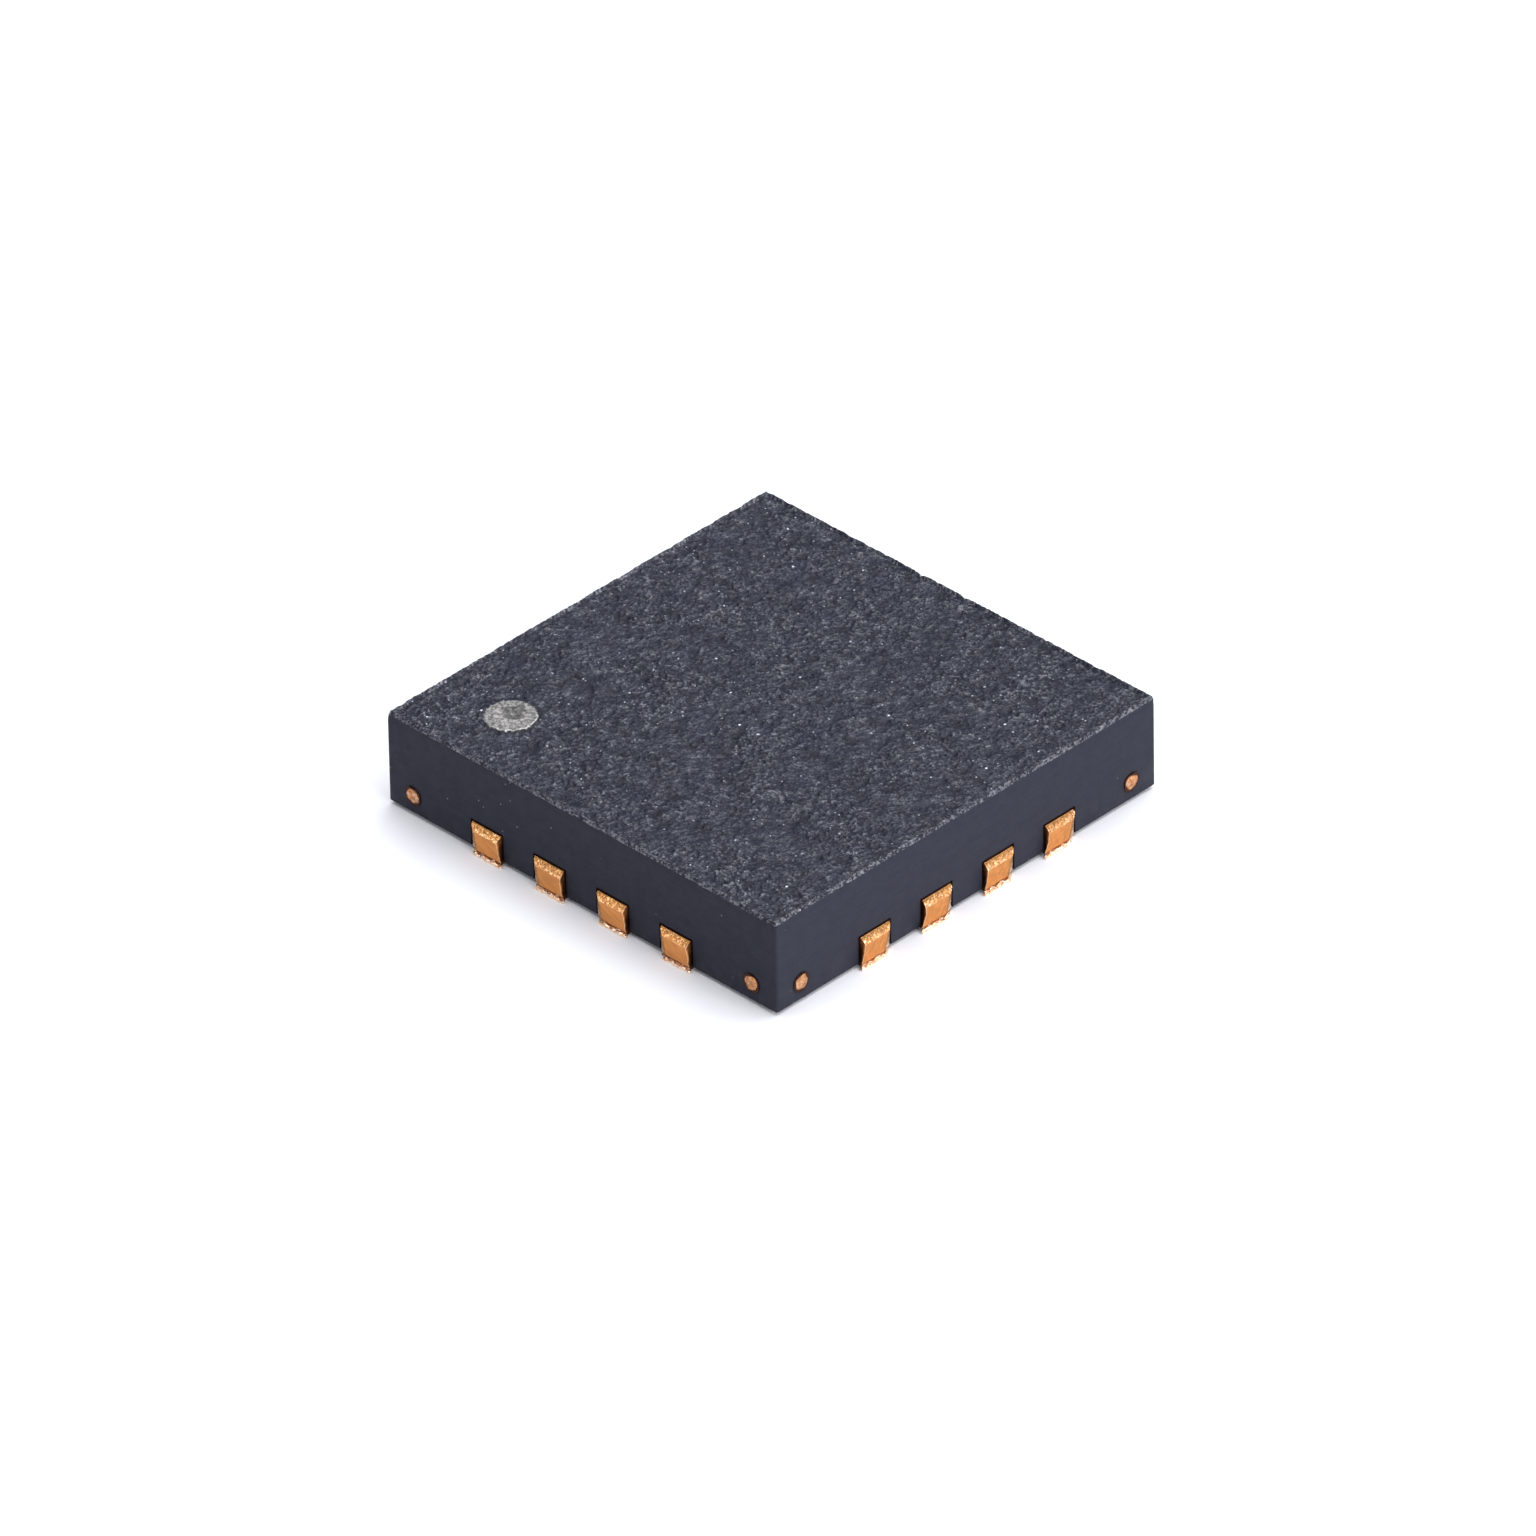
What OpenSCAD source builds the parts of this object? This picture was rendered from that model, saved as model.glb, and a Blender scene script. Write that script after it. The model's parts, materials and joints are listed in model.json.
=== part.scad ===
// Quad flat no-lead chip: a square moulded body, sixteen copper leads that end flush
// with its underside, an exposed die paddle, and the wire-bonded die sealed inside.
// The origin is the middle of the package on the board, with the first lead at -X +Y
// and the leads counted anticlockwise as seen from above.

/* [Body] */
// Side of the square moulded body
body_side = 4.00; // [3.8:0.05:6]
// Height of the moulded body, from its underside to its top
body_height = 0.80; // [0.7:0.01:1.2]
// Gap between the board and the underside of the body
standoff = 0.03; // [0.01:0.005:0.05]
// Radius of the four upright edges left by the saw
edge_radius = 0.015; // [0.005:0.005:0.1]

/* [First-lead mark] */
// Diameter of the round mark beside the first lead
mark_diameter = 0.42; // [0.2:0.02:0.6]
// Depth of the mark below the top of the body
mark_depth = 0.015; // [0.005:0.005:0.04]
// Distance from the middle of the mark to the side that holds the first lead
mark_side_inset = 0.595; // [0.4:0.005:0.9]
// Distance from the middle of the mark to the side that holds the last lead
mark_end_inset = 0.70; // [0.4:0.005:0.9]

/* [Leadframe] */
// Thickness of the copper sheet
frame_thickness = 0.25; // [0.2:0.01:0.3]
// Depth etched away from below where the copper is thinned
etch_depth = 0.11; // [0.08:0.01:0.14]

/* [Leads] */
// Number of leads on each side
leads_per_side = 4; // [2:1:4]
// Distance between the middles of neighbouring leads
lead_pitch = 0.65; // [0.5:0.01:0.75]
// Width of a lead
lead_width = 0.30; // [0.2:0.01:0.36]
// Length of the land under a lead, from the sawn side inward
land_length = 0.50; // [0.4:0.01:0.6]
// How far the thinned bond finger reaches past the land
finger_reach = 0.10; // [0.05:0.01:0.2]
// How far the cut end stands out from the side of the body
end_proud = 0.04; // [0.01:0.005:0.06]
// Height of the bevel along the top of the cut end
end_bevel = 0.05; // [0.03:0.005:0.1]
// Width of the bevel along each side of the cut end
side_bevel = 0.02; // [0.005:0.005:0.05]
// How far the foot stands out past the rest of the cut end
foot_proud = 0.02; // [0.005:0.005:0.04]
// Height of the foot
foot_height = 0.03; // [0.01:0.005:0.06]

/* [Die paddle] */
// Gap between the paddle and the tips of the bond fingers
paddle_gap = 0.20; // [0.15:0.01:0.4]
// Width of the thinned rim round the exposed pad
rim_width = 0.15; // [0.05:0.01:0.3]
// Corner radius of the paddle and of the exposed pad
pad_radius = 0.08; // [0.03:0.01:0.2]
// Length cut off the exposed pad along both edges at the first-lead corner
pad_chamfer = 0.30; // [0.1:0.02:0.6]

/* [Tie bars] */
// Width of the bars that tie the paddle to the corners
tie_width = 0.15; // [0.08:0.01:0.18]
// Distance from the middle of a cut tie-bar end to the corner of the body
tie_inset = 0.255; // [0.2:0.005:0.3]
// Radius of the long edges of a cut tie-bar end
tie_rounding = 0.055; // [0.01:0.005:0.06]
// How far a cut tie-bar end stands out from the side of the body
tie_proud = 0.005; // [0.001:0.001:0.02]

/* [Die] */
// Side of the square silicon die
die_side = 1.50; // [1:0.05:2]
// Thickness of the die
die_thickness = 0.20; // [0.1:0.01:0.3]
// Thickness of the die attach under the die
attach_thickness = 0.025; // [0.01:0.005:0.05]
// How far the die attach spreads past the edges of the die
attach_spread = 0.06; // [0.02:0.01:0.15]

/* [Bond wires] */
// Diameter of the bond wire
wire_diameter = 0.03; // [0.02:0.005:0.05]
// Height of the loop above the die, to the middle of the wire
loop_height = 0.15; // [0.1:0.01:0.2]
// Radius of the bend at the top of the loop, to the middle of the wire
loop_bend = 0.06; // [0.04:0.005:0.09]
// Diameter of the ball bonded to the die
ball_diameter = 0.08; // [0.06:0.005:0.1]
// Height of the flattened ball
ball_height = 0.02; // [0.01:0.005:0.04]
// Distance from the middle of a ball to the edge of the die
ball_inset = 0.10; // [0.06:0.01:0.2]
// Distance between the middles of neighbouring balls
ball_pitch = 0.32; // [0.15:0.01:0.35]
// Diameter of the stitch pressed onto the lead
stitch_diameter = 0.10; // [0.08:0.005:0.14]
// Height of the pressed stitch
stitch_height = 0.01; // [0.005:0.005:0.02]
// Distance from the middle of a stitch to the tip of the bond finger
stitch_inset = 0.12; // [0.08:0.01:0.2]

/* [Hidden] */
$fn = 48;
SIDES = 4;
WIRE_SIDES = 8;
BEND_STEPS = 5;
// Most of a bar's thickness or width that one rounded edge may take
ROUNDING_SHARE = 0.45;
half_body = body_side / 2;
body_top = standoff + body_height;
web_thickness = frame_thickness - etch_depth;
finger_length = land_length + finger_reach;
paddle_side = body_side - 2 * (finger_length + paddle_gap);
pad_side = paddle_side - 2 * rim_width;
tie_corner = half_body - tie_inset;
tie_root = paddle_side / 2 - pad_radius;
die_bottom = frame_thickness + attach_thickness;
die_top = die_bottom + die_thickness;
bend_start = die_top + loop_height - loop_bend;
lead_count = SIDES * leads_per_side;

COPPER = [0.80, 0.50, 0.27];
GOLD = [0.90, 0.72, 0.32];
MOULD_COMPOUND = [0.17, 0.18, 0.22];
SILICON = [0.44, 0.46, 0.52];
SILVER_EPOXY = [0.72, 0.71, 0.68];

function numbered(word, number) = str(word, number < 10 ? "_0" : "_", number);
function lead_name(pin) = numbered("lead", pin);
function wire_name(pin) = numbered("bond_wire", pin);

// Which side a lead is on, from 0 at -X anticlockwise, and its place along that side
function side_of(pin) = floor((pin - 1) / leads_per_side);
function step_of(pin) = (leads_per_side - 1) / 2 - (pin - 1) % leads_per_side;

// Where a wire starts on the die and ends on its lead, as seen on the side at -X
function ball_place(pin) = [ball_inset - die_side / 2, step_of(pin) * ball_pitch];
function stitch_place(pin) = [finger_length - stitch_inset - half_body, step_of(pin) * lead_pitch];

module on_side(side) {
    rotate([0, 0, side * 360 / SIDES]) children();
}

module rounded_rectangle(size, radius) {
    square([size.x, size.y - 2 * radius], center = true);
    square([size.x - 2 * radius, size.y], center = true);
    for (x = [-1, 1], y = [-1, 1])
        translate([x * (size.x / 2 - radius), y * (size.y / 2 - radius)])
            circle(r = radius);
}

// Plan of a lead from the sawn side inward, with its round inner tip
module lead_plan(length) {
    translate([0, -lead_width / 2])
        square([length - lead_width / 2, lead_width]);
    translate([length - lead_width / 2, 0])
        circle(d = lead_width);
}

// Section through the cut end, bevelled on top
module cut_end_section() {
    polygon([
        [0, 0],
        [-end_proud, 0],
        [-end_proud, frame_thickness - end_bevel],
        [0, frame_thickness]
    ]);
}

// Plan of the cut end, bevelled at both sides
module cut_end_plan() {
    root = lead_width / 2;
    face = root - side_bevel;
    polygon([[0, -root], [-end_proud, -face], [-end_proud, face], [0, root]]);
}

// Section through the foot that the saw draws out along the bottom of the cut end
module foot_section() {
    polygon([
        [0, 0],
        [-end_proud - foot_proud, 0],
        [-end_proud - foot_proud, foot_height / 2],
        [-end_proud, foot_height],
        [0, foot_height]
    ]);
}

// A section in the XZ plane, run across the width of a lead
module across_lead() {
    rotate([90, 0, 0])
        linear_extrude(lead_width, center = true)
            children();
}

// The end that the saw leaves standing out from the side of the body
module cut_end() {
    intersection() {
        across_lead()
            cut_end_section();
        linear_extrude(frame_thickness)
            cut_end_plan();
    }
    across_lead()
        foot_section();
}

module lead(pin) {
    color(COPPER)
    on_side(side_of(pin))
    translate([-half_body, step_of(pin) * lead_pitch, 0])
    union() {
        linear_extrude(frame_thickness)
            lead_plan(land_length);
        translate([0, 0, etch_depth])
            linear_extrude(web_thickness)
                lead_plan(finger_length);
        cut_end();
    }
}

// One thinned leg of a tie bar, run out along +X to the sawn side
module tie_leg() {
    rounding = min(tie_rounding, ROUNDING_SHARE * min(tie_width, web_thickness));
    translate([tie_corner - tie_width / 2, tie_corner, etch_depth + web_thickness / 2])
        rotate([90, 0, 90])
            linear_extrude(tie_inset + tie_width / 2 + tie_proud)
                rounded_rectangle([tie_width, web_thickness], rounding);
}

// A diagonal bar that forks at the corner, so that the saw cuts one leg on each side
module tie_bar() {
    translate([0, 0, etch_depth])
        linear_extrude(web_thickness)
            rotate(45)
                translate([tie_root * sqrt(2), -tie_width / 2])
                    square([(tie_corner - tie_root) * sqrt(2), tie_width]);
    tie_leg();
    mirror([1, -1, 0])
        tie_leg();
}

module exposed_pad_plan() {
    difference() {
        rounded_rectangle([pad_side, pad_side], pad_radius);
        translate([-pad_side / 2, pad_side / 2])
            rotate(45)
                square(pad_chamfer * sqrt(2), center = true);
    }
}

module die_paddle() {
    color(COPPER)
    union() {
        linear_extrude(frame_thickness)
            exposed_pad_plan();
        translate([0, 0, etch_depth])
            linear_extrude(web_thickness)
                rounded_rectangle([paddle_side, paddle_side], pad_radius);
        for (side = [0 : SIDES - 1])
            on_side(side)
                tie_bar();
    }
}

module die_attach() {
    attach_side = die_side + 2 * attach_spread;
    color(SILVER_EPOXY)
    translate([0, 0, frame_thickness])
        linear_extrude(attach_thickness)
            rounded_rectangle([attach_side, attach_side], attach_spread);
}

module silicon_die() {
    color(SILICON)
    translate([-die_side / 2, -die_side / 2, die_bottom])
        cube([die_side, die_side, die_thickness]);
}

// Stations along a wire in the XZ plane, from a ball at X = 0 to a stitch at X = span. It
// goes straight up, over a round bend, and down the line from the bend to the heel of the
// stitch. Each station has its X, Z and direction, and half its width and half its height.
function wire_stations(span) =
    let (
        wire_radius = wire_diameter / 2,
        ball_radius = ball_diameter / 2,
        stitch_radius = stitch_diameter / 2,
        stitch_middle = frame_thickness + stitch_height / 2,
        run = span - stitch_radius - loop_bend,
        fall = bend_start - frame_thickness - wire_radius,
        dip = atan2(fall, run) + asin(loop_bend / norm([run, fall])),
        heel = frame_thickness + wire_radius * cos(dip)
    )
    concat(
        [
            [0, die_top, 90, ball_radius, ball_radius],
            [0, die_top + ball_height, 90, ball_radius, ball_radius],
            [0, die_top + 2 * ball_height, 90, wire_radius, wire_radius]
        ],
        [
            for (step = [0 : BEND_STEPS])
                let (
                    turn = 180 - (90 + dip) * step / BEND_STEPS,
                    x = loop_bend * (1 + cos(turn)),
                    z = bend_start + loop_bend * sin(turn)
                )
                [x, z, turn - 90, wire_radius, wire_radius]
        ],
        [
            [span - stitch_radius, heel, -dip, wire_radius, wire_radius],
            [span, stitch_middle, 0, stitch_radius, stitch_height / 2],
            [span + stitch_radius, stitch_middle, 0, wire_radius, stitch_height / 2]
        ]
    );

// Corners of the wire's section at a station, with a flat underneath
function wire_ring(station) =
    let (
        x = station[0],
        z = station[1],
        direction = station[2],
        half_width = station[3],
        half_height = station[4],
        outward = 1 / cos(180 / WIRE_SIDES)
    )
    [
        for (corner = [0 : WIRE_SIDES - 1])
            let (
                angle = (corner + 0.5) * 360 / WIRE_SIDES,
                across = outward * half_width * cos(angle),
                above = outward * half_height * sin(angle)
            )
            [x - above * sin(direction), across, z + above * cos(direction)]
    ];

// One closed tube through the stations of a wire
module wire_loop(span) {
    stations = wire_stations(span);
    last = len(stations) - 1;
    polyhedron(
        points = [for (station = stations) each wire_ring(station)],
        faces = concat(
            [[for (corner = [0 : WIRE_SIDES - 1]) corner]],
            [
                for (ring = [0 : last - 1], corner = [0 : WIRE_SIDES - 1])
                    let (next = (corner + 1) % WIRE_SIDES)
                    [
                        ring * WIRE_SIDES + next,
                        ring * WIRE_SIDES + corner,
                        (ring + 1) * WIRE_SIDES + corner,
                        (ring + 1) * WIRE_SIDES + next
                    ]
            ],
            [[for (corner = [WIRE_SIDES - 1 : -1 : 0]) last * WIRE_SIDES + corner]]
        )
    );
}

module bond_wire(pin) {
    start = ball_place(pin);
    way = stitch_place(pin) - start;
    color(GOLD)
    on_side(side_of(pin))
    translate([start.x, start.y, 0])
        rotate([0, 0, atan2(way.y, way.x)])
            wire_loop(norm(way));
}

module mould_body() {
    color(MOULD_COMPOUND)
    difference() {
        translate([0, 0, standoff])
            linear_extrude(body_height)
                rounded_rectangle([body_side, body_side], edge_radius);
        translate([mark_side_inset - half_body, half_body - mark_end_inset, body_top - mark_depth])
            cylinder(d = mark_diameter, h = 2 * mark_depth);
        die_paddle();
        die_attach();
        silicon_die();
        for (pin = [1 : lead_count]) {
            lead(pin);
            bond_wire(pin);
        }
    }
}

mould_body();
die_paddle();
die_attach();
silicon_die();
for (pin = [1 : lead_count]) {
    lead(pin);
    bond_wire(pin);
}
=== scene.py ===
"""Looks of a small leadless chip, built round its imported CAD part.

Run as a script, it registers the add-on, builds each piece and dresses the stage.
"""

import json
import math

import bmesh
import bpy
import numpy as np
from bpy.props import FloatProperty, FloatVectorProperty, IntProperty, PointerProperty
from mathutils import Matrix, Vector

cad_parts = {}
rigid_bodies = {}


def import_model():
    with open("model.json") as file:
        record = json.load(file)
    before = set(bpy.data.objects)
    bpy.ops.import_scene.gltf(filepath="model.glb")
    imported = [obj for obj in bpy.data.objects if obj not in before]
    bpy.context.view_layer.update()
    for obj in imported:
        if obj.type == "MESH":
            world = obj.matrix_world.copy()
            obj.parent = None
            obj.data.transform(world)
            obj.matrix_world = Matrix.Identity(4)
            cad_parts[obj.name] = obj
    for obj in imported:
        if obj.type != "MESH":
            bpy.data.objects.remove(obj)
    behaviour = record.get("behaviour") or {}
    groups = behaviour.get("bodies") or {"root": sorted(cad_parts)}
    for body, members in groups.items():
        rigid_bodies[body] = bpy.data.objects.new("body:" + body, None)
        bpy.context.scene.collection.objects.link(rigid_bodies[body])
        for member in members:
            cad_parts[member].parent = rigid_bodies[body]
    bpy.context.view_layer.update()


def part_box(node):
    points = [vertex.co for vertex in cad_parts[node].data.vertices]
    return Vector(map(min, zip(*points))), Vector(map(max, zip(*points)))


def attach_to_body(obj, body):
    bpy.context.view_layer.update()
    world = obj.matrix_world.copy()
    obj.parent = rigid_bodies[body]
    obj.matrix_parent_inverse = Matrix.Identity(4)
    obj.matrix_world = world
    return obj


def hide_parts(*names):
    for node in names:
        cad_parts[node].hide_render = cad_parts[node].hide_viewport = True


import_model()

bl_info = {
    "name": "Leadless Chip",
    "version": (1, 0, 0),
    "blender": (4, 5, 0),
    "location": "3D View > Sidebar > Chip",
    "description": "Grain, cut copper and studio for a moulded leadless chip",
    "category": "Object",
}

MM = 0.001
LEADS = [f"lead_{pin:02d}" for pin in range(1, 17)]
WIRES = [f"bond_wire_{pin:02d}" for pin in range(1, 17)]


# Settings


def length(name, description, millimetres):
    """A length setting, stored in metres and given here in millimetres."""
    return FloatProperty(
        name=name, description=description, default=millimetres * MM, unit="LENGTH", precision=6
    )


def colour(name, description, value):
    """A linear colour setting."""
    return FloatVectorProperty(
        name=name, description=description, default=value, subtype="COLOR", min=0.0, max=1.0
    )


def share(name, description, value, top=10.0):
    """A plain number setting."""
    return FloatProperty(name=name, description=description, default=value, min=-top, max=top)


class ChipBodySettings(bpy.types.PropertyGroup):
    """Shape and finish of the moulded body."""

    top_cells: IntProperty(
        name="Top cells", description="Mesh cells along one side of the top",
        default=272, min=60, max=280,
    )
    edge_radius: length("Edge radius", "Rounding along the top edges", 0.032)
    upright_radius: length("Upright radius", "Rounding of the four upright edges", 0.014)
    chip_depth: length("Chip depth", "Depth of a crumb broken out of a top edge", 0.008)
    grain_height: length("Grain height", "Height of the moulded grain on the top", 0.012)
    pit_depth: length("Pit depth", "Depth of the scattered pits in the top", 0.009)
    mark_side: length("Mark to side", "First-lead mark centre from the lead 1 side", 0.595)
    mark_end: length("Mark to end", "First-lead mark centre from the lead 16 side", 0.70)
    mark_radius: length("Mark radius", "Radius of the first-lead mark", 0.21)
    mark_depth: length("Mark depth", "Depth of the first-lead mark", 0.015)
    groove: length("Lead groove", "Gap sawn open round each lead end", 0.019)
    compound: colour("Compound", "Moulding compound, top", (0.012, 0.0138, 0.025))
    sawn: colour("Sawn compound", "Moulding compound, sawn sides", (0.0245, 0.0265, 0.038))
    # Pale silica grains; also the colour of painted highlights and glints on the top.
    filler_and_highlight: colour("Filler", "Silica grains that show in the compound", (0.30, 0.31, 0.34))
    laser: colour("Laser mark", "Compound where the mark was burned", (0.222, 0.214, 0.200))
    # Painted shadow round the first-lead mark, faint all round and darkest on its front side.
    mark_shadow: colour("Soot", "Burned halo round the first-lead mark", (0.011, 0.009, 0.008))


class ChipLeadSettings(bpy.types.PropertyGroup):
    """Shape and finish of the cut lead ends and tie-bar ends."""

    proud: length("Proud", "How far a cut end stands out of the body", 0.04)
    bevel: length("Bevel", "Height of the dragged bevel over the cut end", 0.05)
    side_bevel: length("Side bevel", "Width of the rounding where the saw enters a cut end", 0.052)
    steep_side: length("Steep side", "Width of the steeper bevel where the saw leaves a cut end", 0.007)
    lean: length("Lean", "How far the saw drags the bottom of a cut end sideways", 0.030)
    foot_height: length("Foot height", "Height of the smeared foot of the cut", 0.03)
    notch: length("Notch", "Depth of the dark line over the foot", 0.012)
    land_length: length("Land length", "Length of the soldered land", 0.50)
    etch_depth: length("Etch depth", "Half-etch step under the inner end", 0.11)
    tie_height: length("Tie height", "Centre of a tie-bar end over the board", 0.18)
    tie_place: length("Tie place", "Tie-bar end from the middle of its side", 1.745)
    tie_radius: length("Tie radius", "Radius of the copper smeared over a tie-bar end", 0.063)
    copper: colour("Copper", "Sawn copper", (0.665, 0.272, 0.080))
    bright: colour("Burnished copper", "Dragged copper on bevels", (0.98, 0.58, 0.29))
    # Burnished edges of a cut face, used as painted highlights along its arrises and crest.
    edge: colour("Edge copper", "Burnished edges of a cut face", (1.0, 0.78, 0.52))
    # Darker copper of the bevels, next to the body.
    gold: colour("Deep gold", "Unworn copper of the bevels", (0.34, 0.165, 0.05))
    # Painted highlight on the bevels' crests and edges, and bright flecks.
    cream_highlight: colour("Cream copper", "Copper worn bright on the bevels", (1.0, 0.84, 0.62))
    # Darker copper: painted shade on the etched side walls, and the brown patches of the tie-bar ends.
    shade_and_brown: colour("Shaded copper", "Etched sides of the cut ends", (0.56, 0.22, 0.075))
    tin: colour("Tin", "Matt tin under lands and pad", (0.62, 0.60, 0.57))
    smear: colour("Smeared tin", "Tin drawn out over the foot of a cut end", (0.97, 0.80, 0.62))
    # Dark brown of burned compound, used also as painted shade in and round the grooves.
    burn_and_shade: colour("Stain", "Burned compound round the cut copper", (0.022, 0.008, 0.005))


class ChipStageSettings(bpy.types.PropertyGroup):
    """Camera, floor and light."""

    azimuth: FloatProperty(
        name="Azimuth", description="Camera direction round the chip",
        default=math.radians(-45.05), subtype="ANGLE",
    )
    elevation: FloatProperty(
        name="Elevation", description="Camera height over the horizon",
        default=math.radians(34.72), subtype="ANGLE",
    )
    roll: FloatProperty(
        name="Roll", description="Camera roll", default=math.radians(-1.10), subtype="ANGLE"
    )
    distance: length("Distance", "Camera to chip", 146.9)
    focal: share("Focal length", "Camera focal length in millimetres", 466.2, 1000.0)
    aim_right: length("Aim right", "Aim point to the right of the chip's middle", -0.0318)
    aim_up: length("Aim up", "Aim point over the chip's foot", 0.175)
    floor: colour("Floor", "Paper under the chip", (0.92, 0.92, 0.92))
    fill: colour("Fill light", "Soft light from all round", (0.82, 0.84, 1.0))
    fill_left: share("Fill left", "Strength of the soft light from the left", 0.20)
    fill_right: share("Fill right", "Strength of the soft light from the right", 0.88)
    key: colour("Key light", "Large soft light from the right", (1.0, 0.985, 0.96))
    key_power: share("Key power", "Strength of the light from the right", 2.3)
    left_power: share("Left power", "Strength of the weak light from the left", 0.40)
    top: colour("Top light", "Large soft light overhead", (0.955, 0.965, 1.0))
    top_power: share("Top power", "Strength of the large soft light overhead", 2.95)


# Shared helpers


def lumps(x, y, cell, seed):
    """Gradient noise from about -1 to 1, with lumps about one cell across."""
    angle = np.random.default_rng(seed).uniform(0, 2 * math.pi, (256, 256))
    gx, gy = np.asarray(x) / cell, np.asarray(y) / cell
    ix, iy = np.floor(gx).astype(int), np.floor(gy).astype(int)
    fx, fy = gx - ix, gy - iy

    def corner(dx, dy):
        turn = angle[(ix + dx) % 256, (iy + dy) % 256]
        return np.cos(turn) * (fx - dx) + np.sin(turn) * (fy - dy)

    sx, sy = (t**3 * (t * (t * 6 - 15) + 10) for t in (fx, fy))
    near = corner(0, 0) * (1 - sx) + corner(1, 0) * sx
    far = corner(0, 1) * (1 - sx) + corner(1, 1) * sx
    return 1.5 * (near * (1 - sy) + far * sy)


def grains(x, y, cell, seed):
    """Rounded grains of random height from 0 to 1, packed about one cell apart."""
    table = np.random.default_rng(seed).uniform(0, 1, (3, 256, 256))
    gx, gy = np.asarray(x) / cell, np.asarray(y) / cell
    ix, iy = np.floor(gx).astype(int), np.floor(gy).astype(int)
    best = np.full(gx.shape, 9.0)
    height = np.zeros(gx.shape)
    for dx in (-1, 0, 1):
        for dy in (-1, 0, 1):
            px, py, tall = table[:, (ix + dx) % 256, (iy + dy) % 256]
            gap = (ix + dx + px - gx) ** 2 + (iy + dy + py - gy) ** 2
            nearer = gap < best
            best = np.where(nearer, gap, best)
            height = np.where(nearer, tall, height)
    return np.clip(1 - best, 0, 1) * (0.35 + 0.65 * height)


def ease(value, low, high):
    """0 below low, 1 above high, smooth between."""
    t = np.clip((value - low) / (high - low), 0, 1)
    return t * t * (3 - 2 * t)


def show(name, points, faces, materials, zones=None, crumbs=None):
    """Makes a mesh object from points in metres and rides it on the chip."""
    mesh = bpy.data.meshes.new(name)
    mesh.from_pydata(np.asarray(points).tolist(), [], faces)
    if crumbs is not None:
        mesh.attributes.new("crumb", "FLOAT", "POINT").data.foreach_set("value", crumbs)
    for material in materials:
        mesh.materials.append(material)
    if zones is not None:
        mesh.polygons.foreach_set("material_index", zones)
    mesh.update()
    piece = bpy.data.objects.new(name, mesh)
    bpy.context.collection.objects.link(piece)
    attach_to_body(piece, "root")
    return piece


def smooth(piece, degrees, flat=()):
    """Shades a piece smooth, but keeps edges sharper than an angle, and some zones, flat."""
    mesh = piece.data
    mesh.set_sharp_from_angle(angle=math.radians(degrees))
    mesh.polygons.foreach_set("use_smooth", [face.material_index not in flat for face in mesh.polygons])
    mesh.update()


def carve(piece, other, operation):
    """Cuts one solid with another and keeps the result in the piece's mesh."""
    cut = piece.modifiers.new("carve", "BOOLEAN")
    cut.object, cut.operation, cut.solver = other, operation, "EXACT"
    graph = bpy.context.evaluated_depsgraph_get()
    mesh = bpy.data.meshes.new_from_object(piece.evaluated_get(graph))
    piece.modifiers.clear()
    old, piece.data = piece.data, mesh
    bpy.data.meshes.remove(old)
    bpy.data.objects.remove(other)


def split_faces(piece):
    """Splits a piece into triangles, so that every face is flat."""
    bm = bmesh.new()
    bm.from_mesh(piece.data)
    bmesh.ops.triangulate(bm, faces=bm.faces)
    bm.to_mesh(piece.data)
    bm.free()


def welded_copy(node, name):
    """A free copy of a CAD node whose split corners are joined again."""
    bm = bmesh.new()
    bm.from_mesh(bpy.data.objects[node].data)
    bmesh.ops.remove_doubles(bm, verts=bm.verts, dist=1e-8)
    mesh = bpy.data.meshes.new(name)
    bm.to_mesh(mesh)
    bm.free()
    copy = bpy.data.objects.new(name, mesh)
    bpy.context.collection.objects.link(copy)
    return copy


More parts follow.
